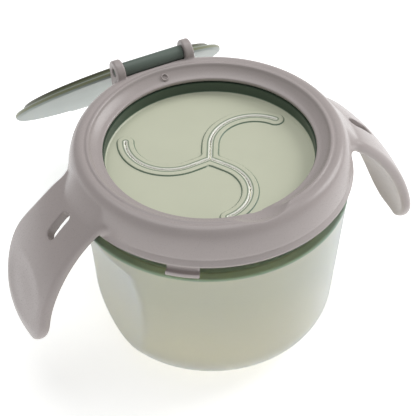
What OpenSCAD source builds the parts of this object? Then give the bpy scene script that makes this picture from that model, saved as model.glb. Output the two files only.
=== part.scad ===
// Toddler snack container: a translucent cup, a snap-on collar with two handles,
// a soft slit membrane that lets a hand in, and a flip lid shown hanging open.
// The origin is the centre of the base, on the surface it stands on. +Z is up,
// -Y is the thumb-notch side, and the lid hinge is at +Y.

/* [Cup] */
// Height of the body's shoulder above the floor
shoulder_h = 64; // [58:1:70]
// Radius of the body at the shoulder
body_top_r = 53.4; // [52.6:0.1:55]
// Radius that the tapered side would reach at the floor
body_base_r = 44.7; // [43:0.1:48]
// Radius of the round between side and base
base_round = 18; // [10:1:22]
// Wall thickness of the cup
cup_wall = 2.2; // [1.6:0.1:3]
// Width of the ledge between the body and the neck
ledge_w = 3.4; // [3:0.1:5]
// Height of the neck above the shoulder
neck_h = 17.6; // [15:0.1:22]
// Depth of the recess inside the foot ring
foot_recess = 1; // [0.5:0.1:1.8]
// Half the width across the two hollow sides, under their ramps
scoop_top_x = 45.3; // [43:0.1:48]
// Half the width across the hollow sides at the floor
scoop_base_x = 42.7; // [40:0.1:44]
// How far the hollow sides are drawn in between top and floor
scoop_dip = 3.2; // [0:0.1:5]
// Height of the curved ramp at the top of each hollow
scoop_ramp_h = 8; // [5:0.5:12]

/* [Collar] */
// Radius of the mouth
mouth_r = 41; // [39:0.1:42]
// Width of the sloped band from the mouth to the crest
band_w = 5.2; // [4:0.1:6]
// Rise of the band from the mouth to the crest
band_rise = 3; // [2:0.1:4]
// Height of the step at the crest that rings the shut lid
crest_step = 0.6; // [0.2:0.1:1]
// Height of the collar below the mouth's edge
skirt_drop = 12.7; // [11:0.1:14]
// Wall thickness of the collar
collar_wall = 2.2; // [1.8:0.1:2.8]
// Thickness of the collar at the mouth's edge
lip_t = 1.6; // [1.2:0.1:2]
// Height of the bead around the skirt's lower edge
bead_h = 3.3; // [2:0.1:4]
// How far the bead stands out from the skirt
bead_out = 0.6; // [0.3:0.1:1]
// Radius of the ball that scoops the thumb notch
notch_ball_r = 30; // [24:1:40]
// Depth of the thumb notch below the crest
notch_depth = 3.4; // [2:0.1:4]
// How far the thumb notch reaches from the centre at the crest
notch_reach = 50.9; // [49:0.1:51.5]
// Number of snap tongues under the skirt
tongue_n = 3; // [2:1:4]
// Width of a snap tongue
tongue_w = 13; // [8:0.5:16]

/* [Handles] */
// Radius that the handles reach from the centre
handle_reach = 82; // [78:0.5:88]
// Depth of the handle's tip below the mouth's edge
handle_drop = 61.6; // [54:0.2:66]
// Width of a handle at its neck
handle_w = 35.2; // [30:0.2:40]
// How far the handle's back edge swells beside the fingertips
palm_swell = 6; // [0:0.5:8]
// Thickness of a handle
handle_t = 4.2; // [3.2:0.1:5]
// How far the tip lies forward of the middle
tip_forward = 6.5; // [0:0.5:12]
// Length of the slot through each handle
slot_l = 13; // [11:0.5:14]
// Width of the slot through each handle
slot_w = 5.2; // [4.8:0.1:6]

/* [Lid] */
// Radius of the lid's plate
lid_r = 44.2; // [42:0.1:44.6]
// Thickness of the lid's plate
lid_t = 2.2; // [1.6:0.1:3]
// Depth of the ring under the plate that plugs the mouth
plug_depth = 2; // [1.5:0.1:3]
// Wall of the plug ring
plug_wall = 1.6; // [1.2:0.1:2.4]
// How far the lid is swung open from shut
lid_open = 227; // [180:1:230]
// Radius of the hinge barrel
barrel_r = 2.9; // [2.4:0.1:3]
// Length of the barrel between the ears
barrel_l = 25.2; // [18:0.1:30]
// Radius of the stub pins
pin_r = 1.7; // [1.2:0.05:1.9]
// Height of the hinge axis above the mouth's edge
hinge_rise = 4.1; // [4:0.1:5]
// Distance of the hinge axis outward from the crest
hinge_out = 6.4; // [6.2:0.1:7]
// Thickness of a hinge ear
ear_t = 3.6; // [3:0.1:5]
// Radius of a hinge ear
ear_r = 4.8; // [4:0.1:5.2]
// Width of the thumb tab
tab_w = 21; // [16:0.5:24]

/* [Membrane] */
// Depth of the membrane's face below the mouth's edge
web_drop = 6.5; // [5.5:0.1:8]
// Thickness of the membrane
web_t = 1.5; // [1:0.1:2]
// Width of the slits
slit_w = 0.9; // [0.6:0.1:1.2]
// Radius of the curved part of a slit
slit_r = 17; // [15:0.1:18]
// Length of the straight part of a slit
slit_straight = 9.5; // [7:0.1:11]
// Turn of the curved part of a slit in degrees
slit_turn = 115; // [100:1:120]
// Width of the raised border beside a slit
border_w = 2.8; // [1.5:0.1:3.5]
// Height of the raised border
border_h = 0.5; // [0.3:0.1:0.8]

/* [Fits] */
// Gap between pieces that sit on each other
seat = 0.3; // [0.2:0.05:0.4]
// Gap around the neck inside the skirt
neck_gap = 2.3; // [2:0.1:2.8]
// Gap around the lid's plug ring
plug_gap = 0.6; // [0.4:0.1:1]
// Running clearance of the stub pins in the ears
pin_gap = 0.07; // [0.05:0.01:0.1]

/* [Hidden] */
$fn = 96;
eps = 0.01;

TAUPE = "#b8aca8";
SAGE_CLEAR = "#b9bc9e";
SAGE_GREY = "#8d9c90";
SAGE_SOFT = "#c6cab8";

// Levels, from the floor up
rim_z = shoulder_h + neck_h;
flange_t = 1.2;
ceiling_z = rim_z + seat + flange_t + seat;
lip_z = ceiling_z + lip_t;
crest_z = lip_z + band_rise;
skirt_z = lip_z - skirt_drop;
web_z = lip_z - web_drop;

// Radii shared by the collar and what it holds
neck_r = body_top_r - ledge_w;
crest_r = mouth_r + band_w;
shoulder_z = crest_z + crest_step;
skirt_in_r = neck_r + neck_gap;
skirt_r = skirt_in_r + collar_wall;
well_r = mouth_r - 0.4;
well_wall = 1.4;
core_r = neck_r - 1.8;
core_h = 1.6;
snap_out = 0.9;

// Cup: the side leans by this angle and meets the base in a round
lean = atan((body_top_r - body_base_r) / shoulder_h);
round_x = body_base_r + base_round * tan(lean) - base_round / cos(lean);
foot_ring_w = 3.5;
floor_t = foot_recess + cup_wall;
cavity_start = -90 + acos((base_round - floor_t) / (base_round - cup_wall));

// Handles: a band of the collar's own curvature, drawn along one long curve
root_r = skirt_in_r + 0.8;
root_z = lip_z - 5.7;
tip_z = lip_z - handle_drop;
root_run = 0.436 * (handle_reach - root_r);
root_fall = 0.122 * handle_drop;
knee_out = 5.3;
knee_fall = 0.641 * handle_drop;
tip_in = 1.2;
handle_curve_n = 34;
handle_ring_n = 12;
edge_share = 0.25;
slot_at = 0.275;
slot_forward = 1.2;
dish_depth = 0.9;

// Hinge
hinge_y = crest_r + hinge_out;
hinge_z = lip_z + hinge_rise;
ear_x = barrel_l / 2 + seat;
plate_z = lip_z + band_rise * (lid_r - mouth_r) / band_w + seat;
saddle_gap = 0.35;
block_top = 1.4;
block_run = 7;
tab_t = 1.3;
tab_reach = 3;

// Slits: three equal arms that start at these directions and curl clockwise
arm_dirs = [180, 60, 300];
slit_offset = 0.5;
arc_centre = [slit_straight, slit_r - slit_offset];
corner_w = 3.4;

// Points of an arc of radius r about c, from angle a0 to a1
function arc(c, r, a0, a1, n) =
    [for (i = [0 : n]) c + r * [cos(a0 + (a1 - a0) * i / n), sin(a0 + (a1 - a0) * i / n)]];

// A point of the cubic curve with ends a and d, drawn towards b and c
function bezier(a, b, c, d, t) =
    pow(1 - t, 3) * a + 3 * pow(1 - t, 2) * t * b + 3 * (1 - t) * t * t * c + pow(t, 3) * d;

function bezier_line(a, b, c, d, n) = [for (i = [0 : n]) bezier(a, b, c, d, i / n)];

// ---------------------------------------------------------------- cup

// Outer outline of the cup: foot, round, leaning side, shoulder and beaded neck
function cup_outline() = concat(
    [[0, 0]],
    arc([round_x, base_round], base_round, -90, -lean, 8),
    arc([body_top_r - 1.2, shoulder_h - 1.2], 1.2, 0, 90, 3),
    [[neck_r, shoulder_h],
     [neck_r, rim_z - 7.5], [neck_r + snap_out, rim_z - 6.2], [neck_r + snap_out, rim_z - 5.6],
     [neck_r, rim_z - 4.4],
     [neck_r, rim_z - 0.8], [neck_r - 0.8, rim_z], [0, rim_z]]);

// Outline of the space inside the cup
function cavity_outline() = concat(
    [[0, floor_t], [round_x, floor_t]],
    arc([round_x, base_round], base_round - cup_wall, cavity_start, -lean, 6),
    [[body_top_r - cup_wall, shoulder_h - cup_wall - 2],
     [neck_r - cup_wall, shoulder_h],
     [neck_r - cup_wall, rim_z + 1], [0, rim_z + 1]]);

// Outline of one hollow side, looking along Y: a curved ramp under the shoulder,
// then a gentle hollow down to the floor. shrink moves it inward for the cavity.
function scoop_side(shrink) =
    let (ramp_z = shoulder_h - scoop_ramp_h, top_x = scoop_top_x - shrink,
         base_x = scoop_base_x - shrink, wide_x = body_top_r - shrink, third = (top_x - base_x) / 3)
    concat(
        [[body_top_r + 6, rim_z + 2], [body_top_r + 6, shoulder_h - 1.5],
         [wide_x, shoulder_h - 1.5 - shrink / 2]],
        bezier_line([wide_x - 0.5, shoulder_h - 2.2 - shrink / 2],
            [wide_x - 1.6, shoulder_h - scoop_ramp_h * 0.75],
            [top_x + 1.4, ramp_z + 0.5], [top_x, ramp_z - 2], 6),
        bezier_line([top_x - 0.5, ramp_z * 0.9],
            [top_x - third - scoop_dip, ramp_z * 0.65],
            [base_x + third - scoop_dip, ramp_z * 0.33],
            [base_x, -1], 8));

module flatten_sides(shrink) {
    side = scoop_side(shrink);
    outline = concat(side, [for (i = [len(side) - 1 : -1 : 0]) [-side[i][0], side[i][1]]]);
    rotate([90, 0, 0])
        linear_extrude(4 * body_top_r, center = true) polygon(outline);
}

module cup() {
    color(SAGE_CLEAR)
    difference() {
        intersection() {
            rotate_extrude() polygon(cup_outline());
            flatten_sides(0);
        }
        intersection() {
            rotate_extrude() polygon(cavity_outline());
            flatten_sides(cup_wall);
        }
        translate([0, 0, -eps])
            cylinder(r = min(round_x, scoop_base_x) - foot_ring_w, h = foot_recess + eps);
    }
}

// ------------------------------------------------------------- collar

// Section of the collar's ring: band, step, rounded shoulder, beaded skirt and, inside,
// a shallow groove that keeps the shoulder's wall from being thick
function collar_section() = concat(
    [[mouth_r + 0.4, ceiling_z]],
    arc([mouth_r + 0.5, lip_z - 0.5], 0.5, 180, 120, 2),
    [[crest_r - 0.4, crest_z - 0.3]],
    arc([crest_r + 1, shoulder_z - 0.9], 0.9, 150, 90, 3),
    bezier_line([crest_r + 2, shoulder_z], [skirt_r - 1.7, shoulder_z],
        [skirt_r - 0.3, lip_z - 0.5], [skirt_r, skirt_z + bead_h + 0.6], 8),
    [[skirt_r + bead_out - 0.2, skirt_z + bead_h - 0.2]],
    arc([skirt_r + bead_out - 0.7, skirt_z + 0.7], 0.7, 0, -90, 3),
    [[skirt_in_r + 0.2, skirt_z], [skirt_in_r, skirt_z + 0.3],
     [skirt_in_r, ceiling_z - 2], [skirt_in_r - 0.4, ceiling_z],
     [skirt_in_r - 2.1, ceiling_z + core_h], [core_r + 0.4, ceiling_z + core_h], [core_r, ceiling_z]]);

// One point of a handle's middle surface in the radius-height plane
function handle_curve(t) = bezier([root_r, root_z], [root_r + root_run, lip_z - root_fall],
    [handle_reach + knee_out, lip_z - knee_fall], [handle_reach - tip_in, tip_z], t);

// Direction in which the handle's thickness is measured: level at the root
function handle_normal(t) =
    let (d = handle_curve(min(t + 0.01, 1)) - handle_curve(max(t - 0.01, 0)),
         n = [-d[1], d[0]] / norm(d),
         k = max(0, 1 - t / 0.12),
         m = n * (1 - k) + [0, 1] * k)
    m / norm(m);

// Back and front edges of the handle: each flares at the root, keeps its width and
// then rounds over to the tip, and the back edge swells beside the fingertips
function root_flare(t) = pow(max(0, 1 - t / 0.14), 2);
function handle_back(t) =
    let (u = max(0, (t - 0.556) / 0.444), w = handle_w / 2 + tip_forward + 0.7)
    -tip_forward + w * pow(max(0, 1 - pow(u, 3.9)), 0.43) + 5 * root_flare(t)
        + palm_swell * exp(-pow((t - 0.6) / 0.2, 2));
function handle_front(t) =
    let (u = max(0, (t - 0.8) / 0.2), w = handle_w / 2 - tip_forward - 0.7)
    -tip_forward - w * pow(max(0, 1 - pow(u, 1.86)), 0.77) - 6 * root_flare(t);

// Thickness along the handle, which rounds off to nothing at the tip
function handle_thick(t) = handle_t * sqrt(max(0.004, 1 - pow(max(0, (t - 0.967) / 0.033), 2)));

// One ring of points around the handle's section: two faces joined by round edges.
// q runs across a face from one edge to the other, and a turns it over each edge.
function handle_ring(t) =
    let (y0 = handle_front(t), y1 = handle_back(t), mid = (y0 + y1) / 2,
         half = max((y1 - y0) / 2, 0.3), e = min(handle_thick(t) / 2, half),
         c = handle_curve(t), n = handle_normal(t))
    [for (side = [1, -1], i = [0 : handle_ring_n - 1])
        let (q = i / handle_ring_n,
             a = 90 * (max(0, 1 - q / edge_share) - max(0, 1 - (1 - q) / edge_share)),
             run = max(0, min(1, (q - edge_share) / (1 - 2 * edge_share))),
             y = mid + side * ((half - e) * (1 - 2 * run) + e * sin(a)),
             dish = side > 0 ? dish_depth * dish_shape(t, (y - mid) / half) : 0,
             p = c + n * (side * e * cos(a) - handle_t / 2 - dish))
        [sqrt(p[0] * p[0] - y * y), y, p[1]]];

// A shallow dish for the fingertips on the outer face
function dish_shape(t, v) =
    let (a = (t - 0.73) / 0.18, b = v / 0.85, d = a * a + b * b)
    d < 1 ? pow(1 - d * d, 2) : 0;

module handle() {
    n = 2 * handle_ring_n;
    rings = [for (i = [0 : handle_curve_n]) handle_ring(1 - pow(1 - i / handle_curve_n, 1.6))];
    polyhedron(
        points = [for (ring = rings, p = ring) p],
        faces = concat(
            ring_cap(0, handle_ring_n, false),
            [for (i = [0 : handle_curve_n - 1], j = [0 : n - 1], half = [0, 1])
                let (a = i * n + j, b = i * n + (j + 1) % n)
                half == 0 ? [a, b + n, b] : [a, a + n, b + n]],
            ring_cap(handle_curve_n * n, handle_ring_n, true)));
}

// Triangles that close a ring of 2 * m points, each joining both faces at one width
function ring_cap(first, m, flip) =
    [for (j = [0 : m - 1], half = [0, 1])
        let (a = first + j, b = a + 1, c = first + 2 * m - 1 - j, d = first + (2 * m - j) % (2 * m),
             tri = half == 0 ? [a, b, c] : [a, c, d])
        if (tri[0] != tri[2] && tri[1] != tri[2]) flip ? [tri[0], tri[2], tri[1]] : tri];

// The slot runs along the handle and is cut square to its face
module handle_slot() {
    c = handle_curve(slot_at);
    d = handle_curve(slot_at + 0.02) - handle_curve(slot_at - 0.02);
    translate([c[0], -slot_forward, c[1]])
        rotate([0, -atan2(d[1], d[0]), 0]) {
            for (s = [-1, 1])
                translate([s * (slot_l - slot_w) / 2, 0, -3 * handle_t])
                    cylinder(d = slot_w, h = 6 * handle_t);
            cube([slot_l - slot_w, slot_w, 6 * handle_t], center = true);
        }
}

// A hinge ear stands on the collar's shoulder and rounds over the axis
module ear() {
    rotate([90, 0, 90]) {
        translate([hinge_y, hinge_z, 0]) cylinder(r = ear_r, h = ear_t);
        linear_extrude(ear_t)
            polygon([[hinge_y - ear_r, hinge_z], [hinge_y + ear_r, hinge_z],
                     [skirt_r - 0.4, lip_z - 8], [skirt_in_r + 0.6, lip_z - 8],
                     [crest_r, crest_z - 2]]);
    }
}

// A snap tongue drops from inside the skirt and ends in a foot
module tongue() {
    in_r = neck_r + snap_out + seat;
    stem_r = skirt_in_r + 0.6;
    foot_r = stem_r + 0.8;
    foot_z = shoulder_h + 2.3;
    foot_h = 2.4;
    root_h = 3.5;
    turn = tongue_w / stem_r * 180 / PI;
    rotate([0, 0, -turn / 2]) rotate_extrude(angle = turn)
        polygon([[in_r, foot_z], [foot_r - 0.3, foot_z], [foot_r, foot_z + 0.3],
                 [foot_r, foot_z + foot_h], [stem_r, foot_z + foot_h + 0.4],
                 [stem_r, skirt_z + root_h], [in_r, skirt_z + root_h]]);
}

// The ring, with the saddle between the ears that the barrel turns in
module ring() {
    difference() {
        rotate_extrude() polygon(collar_section());
        translate([0, hinge_y, hinge_z])
            rotate([0, 90, 0]) cylinder(r = barrel_r + saddle_gap, h = 2 * ear_x + 1, center = true);
    }
}

// The ball that scoops the thumb notch out of the band and the crest
module notch_ball() {
    half_chord = sqrt(pow(notch_ball_r, 2) - pow(notch_ball_r - notch_depth, 2));
    translate([0, half_chord - notch_reach, crest_z - notch_depth + notch_ball_r])
        sphere(r = notch_ball_r);
}

module collar() {
    first_tongue = 233;
    color(TAUPE)
    difference() {
        union() {
            ring();
            for (side = [0, 1]) mirror([side, 0, 0]) {
                handle();
                translate([ear_x, 0, 0]) ear();
            }
            for (i = [0 : tongue_n - 1])
                rotate([0, 0, first_tongue + i * 360 / tongue_n]) tongue();
        }
        for (side = [0, 1]) mirror([side, 0, 0]) {
            handle_slot();
            translate([0, hinge_y, hinge_z])
                rotate([0, 90, 0]) cylinder(r = pin_r + pin_gap, h = ear_x + ear_t + 1);
        }
        notch_ball();
        gate_dimple();
    }
}

// A small round mark on the band, beside the hinge
module gate_dimple() {
    up_band = 3;
    turn = -2;
    rotate([0, 0, turn])
        translate([0, mouth_r + up_band, lip_z + band_rise * up_band / band_w])
            rotate([atan(band_rise / band_w), 0, 0])
                difference() {
                    cylinder(r = 1.5, h = 0.7, center = true);
                    cylinder(r = 0.8, h = 0.8, center = true);
                }
}

// ---------------------------------------------------------------- lid

// The lid as it lies when shut: plate, plug ring, hinge block, barrel and tab
module lid_shut() {
    rotate_extrude() polygon(concat(
        [[0, plate_z], [lid_r - 0.5, plate_z], [lid_r, plate_z + 0.5]],
        arc([lid_r - 1.2, plate_z + lid_t - 1.2], 1.2, 0, 90, 4),
        [[0, plate_z + lid_t]]));
    plug_r = well_r - plug_gap;
    rotate_extrude() polygon([
        [plug_r - plug_wall, plate_z + eps], [plug_r, plate_z + eps],
        [plug_r, plate_z - plug_depth + 0.6], [plug_r - 0.5, plate_z - plug_depth],
        [plug_r - plug_wall + 0.3, plate_z - plug_depth], [plug_r - plug_wall, plate_z - plug_depth + 0.3]]);
    hinge_block();
    translate([0, hinge_y, hinge_z]) rotate([0, 90, 0]) {
        cylinder(r = barrel_r, h = barrel_l, center = true);
        cylinder(r = pin_r, h = 2 * (ear_x + ear_t - 0.6), center = true);
    }
    thumb_tab();
}

// The block joins the plate to the barrel, over the collar's shoulder. It is thin
// enough to pass between the shoulder and the axis as the lid swings right over.
module hinge_block() {
    top_z = hinge_z + block_top;
    low_z = shoulder_z + seat;
    plate_top = plate_z + lid_t;
    block_w = barrel_l - 3;
    rotate([90, 0, 90])
        linear_extrude(block_w, center = true)
            polygon([[hinge_y, top_z], [hinge_y - block_run, top_z],
                     [lid_r - 5, plate_top - 0.1], [lid_r - 5, plate_z + 0.4],
                     [lid_r - 1.4, plate_z + 0.4], [lid_r - 1, low_z], [hinge_y, low_z]]);
}

module thumb_tab() {
    corner = 4;
    nose = -(lid_r + tab_reach);
    half = tab_w / 2;
    translate([0, 0, plate_z + lid_t - tab_t - 0.1])
        linear_extrude(tab_t)
            polygon(concat(
                [[half, 8 - lid_r], [-half, 8 - lid_r]],
                arc([corner - half, nose + corner], corner, 180, 270, 6),
                arc([half - corner, nose + corner], corner, 270, 360, 6)));
}

module lid() {
    color(SAGE_GREY)
    translate([0, hinge_y, hinge_z]) rotate([-lid_open, 0, 0]) translate([0, -hinge_y, -hinge_z])
        lid_shut();
}

// ----------------------------------------------------------- membrane

// Points along a slit arm in its own frame (forward, clockwise), moved sideways by off
function arm_line(off) = concat(
    [[abs(off) / tan(60), off], [slit_straight - 0.8, off - slit_offset]],
    arc([slit_straight, slit_r - slit_offset], slit_r - off, -90, slit_turn - 90, 14));

// A point or a line of an arm's own frame in the model's frame: dir is the arm's direction
function to_model(dir, p) = [p[0] * cos(dir) + p[1] * sin(dir), p[0] * sin(dir) - p[1] * cos(dir)];
function arm_points(dir, off) = [for (p = arm_line(off)) to_model(dir, p)];

function reversed(v) = [for (i = [len(v) - 1 : -1 : 0]) v[i]];
function arm_end(dir) = let (p = arm_points(dir, 0)) p[len(p) - 1];

// Each flap bends on the chord between the ends of two arms
function hinge_dir(dir) = let (p = arm_end(dir)) atan2(p[1], p[0]) - 60;
function hinge_dist() = norm(arm_end(0)) * cos(60);

// The chord crosses the next arm. Where it does, a corner of this width stays with
// the rim, so that the flap's edge clears its neighbour as it bends.
function corner_dist() =
    let (dir = hinge_dir(0), c = to_model(-120, arc_centre), far = hinge_dist(),
         along = -c[0] * sin(dir) + c[1] * cos(dir), out = c[0] * cos(dir) + c[1] * sin(dir),
         crossing = along + sqrt(pow(slit_r, 2) - pow(far - out, 2)))
    (far - crossing - corner_w) / sqrt(2);

// Everything on the centre side of a line at this distance in this direction
module centre_side(dir, distance) {
    far = 3 * mouth_r;
    rotate([0, 0, dir])
        translate([distance - far, -far / 2, web_z - web_t - 1])
            cube([far, far, web_t + border_h + 2]);
}

module within_hinge(dir) {
    intersection() {
        centre_side(hinge_dir(dir), hinge_dist());
        centre_side(hinge_dir(dir) - 45, corner_dist());
        union() children();
    }
}

// Flat outline of a flap: between its own arm and the next one, gap wide of each
module flap_outline(dir, gap) {
    next = dir - 120;
    tip = 2 * mouth_r * [cos(hinge_dir(dir)), sin(hinge_dir(dir))];
    polygon(concat(arm_points(dir, gap), [tip], reversed(arm_points(next, -gap))));
}

// The raised border that follows the slits on a flap
module flap_border(dir, gap) {
    next = dir - 120;
    polygon(concat(arm_points(dir, gap), reversed(arm_points(dir, gap + border_w))));
    polygon(concat(arm_points(next, -gap), reversed(arm_points(next, -gap - border_w))));
}

module flap(dir) {
    gap = slit_w / 2;
    color(SAGE_SOFT)
    within_hinge(dir) {
        translate([0, 0, web_z - web_t])
            linear_extrude(web_t) flap_outline(dir, gap);
        translate([0, 0, web_z - eps])
            linear_extrude(border_h + eps)
                intersection() {
                    flap_outline(dir, gap);
                    flap_border(dir, gap);
                }
    }
}

// The fixed part of the membrane: flange under the collar, wall and disc
module flap_rim() {
    flange_r = neck_r - 2.4;
    flange_z = rim_z + seat;
    pad_r = slit_w / 2 + border_w;
    color(SAGE_SOFT)
    difference() {
        union() {
            rotate_extrude() polygon([
                [0, web_z - web_t], [well_r + well_wall - 1, web_z - web_t],
                [well_r + well_wall, web_z - web_t + 1], [well_r + well_wall, flange_z],
                [flange_r, flange_z], [flange_r, flange_z + flange_t],
                [well_r, flange_z + flange_t], [well_r, web_z + 0.8],
                [well_r - 0.8, web_z], [0, web_z]]);
            for (dir = arm_dirs) translate([0, 0, web_z - eps]) {
                translate(arm_end(dir)) cylinder(r = pad_r + 0.2, h = border_h + eps);
                linear_extrude(border_h + eps)
                    polygon(concat(arm_points(dir, pad_r), reversed(arm_points(dir, -pad_r))));
            }
        }
        for (dir = arm_dirs) {
            within_hinge(dir)
                translate([0, 0, web_z - web_t - 1])
                    linear_extrude(web_t + border_h + 2) flap_outline(dir, 0);
            translate([0, 0, web_z - web_t - 1])
                linear_extrude(web_t + border_h + 2)
                    polygon(concat(arm_points(dir, slit_w / 2),
                        reversed(arm_points(dir, -slit_w / 2))));
        }
    }
}

cup();
collar();
lid();
flap_rim();
flap(arm_dirs[0]);  // flap_a
flap(arm_dirs[1]);  // flap_b
flap(arm_dirs[2]);  // flap_c
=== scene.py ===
"""The toddler snack container, dressed for the photograph's view.

Sizes are in millimetres until a mesh is made, and every piece is made in its place in the frame.
"""
from math import acos, atan, atan2, cos, degrees, exp, pi, radians, sin, sqrt, tan

import bmesh
import bpy
import numpy as np
from mathutils import Matrix, Vector
from mathutils.geometry import delaunay_2d_cdt


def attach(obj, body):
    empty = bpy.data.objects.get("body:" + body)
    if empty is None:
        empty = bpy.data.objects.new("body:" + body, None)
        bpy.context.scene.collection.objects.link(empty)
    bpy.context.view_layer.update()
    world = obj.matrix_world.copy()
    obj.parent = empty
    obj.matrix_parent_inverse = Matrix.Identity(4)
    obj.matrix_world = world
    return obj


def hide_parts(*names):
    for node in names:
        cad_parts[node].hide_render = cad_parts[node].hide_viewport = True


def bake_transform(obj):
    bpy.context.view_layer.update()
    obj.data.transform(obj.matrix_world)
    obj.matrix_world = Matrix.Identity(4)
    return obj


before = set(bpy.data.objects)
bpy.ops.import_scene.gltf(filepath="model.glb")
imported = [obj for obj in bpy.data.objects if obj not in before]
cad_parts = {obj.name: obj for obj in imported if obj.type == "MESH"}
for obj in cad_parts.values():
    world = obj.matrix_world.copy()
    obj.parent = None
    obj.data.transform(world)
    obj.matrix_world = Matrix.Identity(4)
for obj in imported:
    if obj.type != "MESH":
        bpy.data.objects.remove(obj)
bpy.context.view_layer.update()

MM = 0.001

# Cup
SHOULDER_Z = 65.2
BODY_TOP_R = 53.4
BODY_BASE_R = 44.7
BASE_ROUND = 18.0
LEDGE_ROUND = 1.0
CUP_WALL = 2.2
NECK_R = 50.0
SNAP_OUT = 0.9
SNAP_DROP = 5.9
RIM_Z = 81.6
RIM_ROUND = 0.8
FOOT_RECESS = 1.0
FOOT_RING_W = 3.5
SCOOP_TOP_X = 45.3
SCOOP_BASE_X = 42.7
SCOOP_DIP = 3.2
SCOOP_RAMP = 8.0
SCOOP_SOFTNESS = 1.4
CUP_STEPS = 240

# Collar
LIP_Z = 85.0
CEILING_Z = 83.4
MOUTH_R = 41.0
CREST_R = 46.2
CREST_Z = 88.0
CREST_ROUND = 0.95
COLLAR_TOP_Z = 88.6
SKIRT_Z = 72.3
SKIRT_IN_R = 52.3
SKIRT_R = 54.5
CORE_R = 48.2
CORE_H = 1.6
BEAD_H = 3.3
BEAD_OUT = 0.6
BEAD_ROUND = 0.7
NOTCH_BALL_R = 24.0
NOTCH_BALL_Y = -37.94
NOTCH_BALL_Z = 108.2
NOTCH_SOFTNESS = 0.3
GATE_UP_BAND = 3.0
GATE_R = 1.25
GATE_T = 0.25
GATE_SINK = 0.06
GATE_TURN = -2.0
TONGUE_DIRS = (233, 353, 113)
TONGUE_W = 13.0
FOOT_H = 2.1
VOXEL = 0.5

# Handles: a band of the collar's own curvature, drawn along one long curve
HANDLE_REACH = 82.0
HANDLE_DROP = 61.6
HANDLE_W = 35.2
HANDLE_T = 4.2
ROOT_R = SKIRT_IN_R + 0.8
ROOT_Z = LIP_Z - 5.7
ROOT_RUN = 0.436 * (HANDLE_REACH - ROOT_R)
ROOT_FALL = 0.122 * HANDLE_DROP
KNEE_OUT = 5.3
KNEE_FALL = 0.641 * HANDLE_DROP
TIP_IN = 1.2
TIP_FORWARD = 6.5
BACK_SHIFT = 0.7
FLARE_FRONT = 6.0
FLARE_BACK = 5.0
PALM_SWELL = 6.0
SLOT_AT = 0.275
SLOT_FORWARD = 1.2
SLOT_L = 13.0
SLOT_W = 5.2
DISH_AT = 0.73
DISH_L = 0.18
DISH_W = 0.85
DISH_DEPTH = 1.1
HANDLE_RINGS = 90
HALF_RING = 32
EDGE_SHARE = 0.25

# Fill between the collar's shoulder and each handle
GUSSET_FRONT = -17.0
GUSSET_BACK = 18.0
GUSSET_FRONT_FADE = 4.0
GUSSET_BACK_FADE = 14.0
GUSSET_SINK = 2.1
GUSSET_AT = 0.15

# Lid and hinge
LID_OPEN = 227.0
LID_R = 44.2
LID_T = 2.2
LID_ROUND = 1.2
PLATE_Z = 87.146
PLUG_R = 40.0
PLUG_WALL = 1.6
PLUG_DEPTH = 2.0
HINGE_Y = 52.6
HINGE_Z = 89.1
BARREL_R = 2.9
BARREL_L = 25.2
PIN_R = 1.7
PIN_GAP = 0.07
SADDLE_R = 3.25
EAR_X = 12.9
EAR_T = 3.6
EAR_R = 4.8
BLOCK_TOP = 1.4
BLOCK_RUN = 7.0
BLOCK_ROOT = 5.0
TAB_W = 21.0
TAB_T = 1.3
TAB_REACH = 3.0
TAB_ROOT = 8.0
TAB_CORNER = 4.0

# Membrane
WEB_Z = 78.5
WEB_T = 1.5
WELL_R = 40.6
WEB_R = WELL_R - 0.8
SLIT_W = 0.5
SLIT_R = 17.0
SLIT_STRAIGHT = 9.5
SLIT_OFFSET = 0.5
SLIT_TURN = 115.0
SLIT_STEPS = 28
BORDER_W = 3.0
BORDER_H = 0.5
ARM_DIRS = {"flap_a": 180.0, "flap_b": 60.0, "flap_c": 300.0}

# Distances from a slit's edge where a row of points carries the border's relief and colour, with its
# painted light and shade
BORDER_ROWS = (0.0, 0.15, 0.3, 0.5, 0.7, 0.85, 1.0, 1.2, 1.7, 2.3, 2.75, 2.9, 3.05, 3.2, 3.35, 3.6)

# Places on the colour ramps that the point attributes "tint" and "tone" choose; the border lines, the wall
# and the plug ring are painted shade
FACE_TINT, BORDER_SHADE_TINT, WALL_SHADE_TINT = 0.25, 0.62, 1.0
PLATE_TONE, EDGE_TONE, PLUG_SHADE_TONE, BARREL_TONE = 0.0, 0.3, 0.6, 1.0

# Camera and light: azimuth, elevation and roll in degrees, distances in millimetres
CAMERA = {"azimuth": -24.3, "elevation": 41.67, "roll": -1.69, "distance": 1148.12,
          "aside": -0.58, "above": -23.55, "focal_px": 3000.0, "frame_px": 416.0}
SENSOR_W = 36.0
WORLD_LIGHT = 0.35
FLOOR_GLOW = 0.55


# ------------------------------------------------------------------ outlines

def arc(c, r, a0, a1, n):
    """Points of an arc about c, from angle a0 to a1 in degrees."""
    return [(c[0] + r * cos(radians(a0 + (a1 - a0) * i / n)),
             c[1] + r * sin(radians(a0 + (a1 - a0) * i / n))) for i in range(n + 1)]


def circle(c, r, n):
    """The n points of a circle about c."""
    return arc(c, r, 0, 360, n)[:-1]


def bezier(a, b, c, d, t):
    """The point of a cubic curve at t."""
    u = 1 - t
    return tuple(u ** 3 * p + 3 * u * u * t * q + 3 * u * t * t * r + t ** 3 * s
                 for p, q, r, s in zip(a, b, c, d))


def bezier_line(a, b, c, d, n):
    """A cubic curve as n segments."""
    return [bezier(a, b, c, d, i / n) for i in range(n + 1)]


def refine(points, step):
    """The same polyline in segments of about step."""
    out = [points[0]]
    for p, q in zip(points, points[1:]):
        n = max(1, int(np.hypot(q[0] - p[0], q[1] - p[1]) / step))
        out += [(p[0] + (q[0] - p[0]) * i / n, p[1] + (q[1] - p[1]) * i / n) for i in range(1, n + 1)]
    return out


def smooth_step(t):
    """Eases a share from 0 to 1 in and out."""
    return t * t * (3 - 2 * t)


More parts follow.
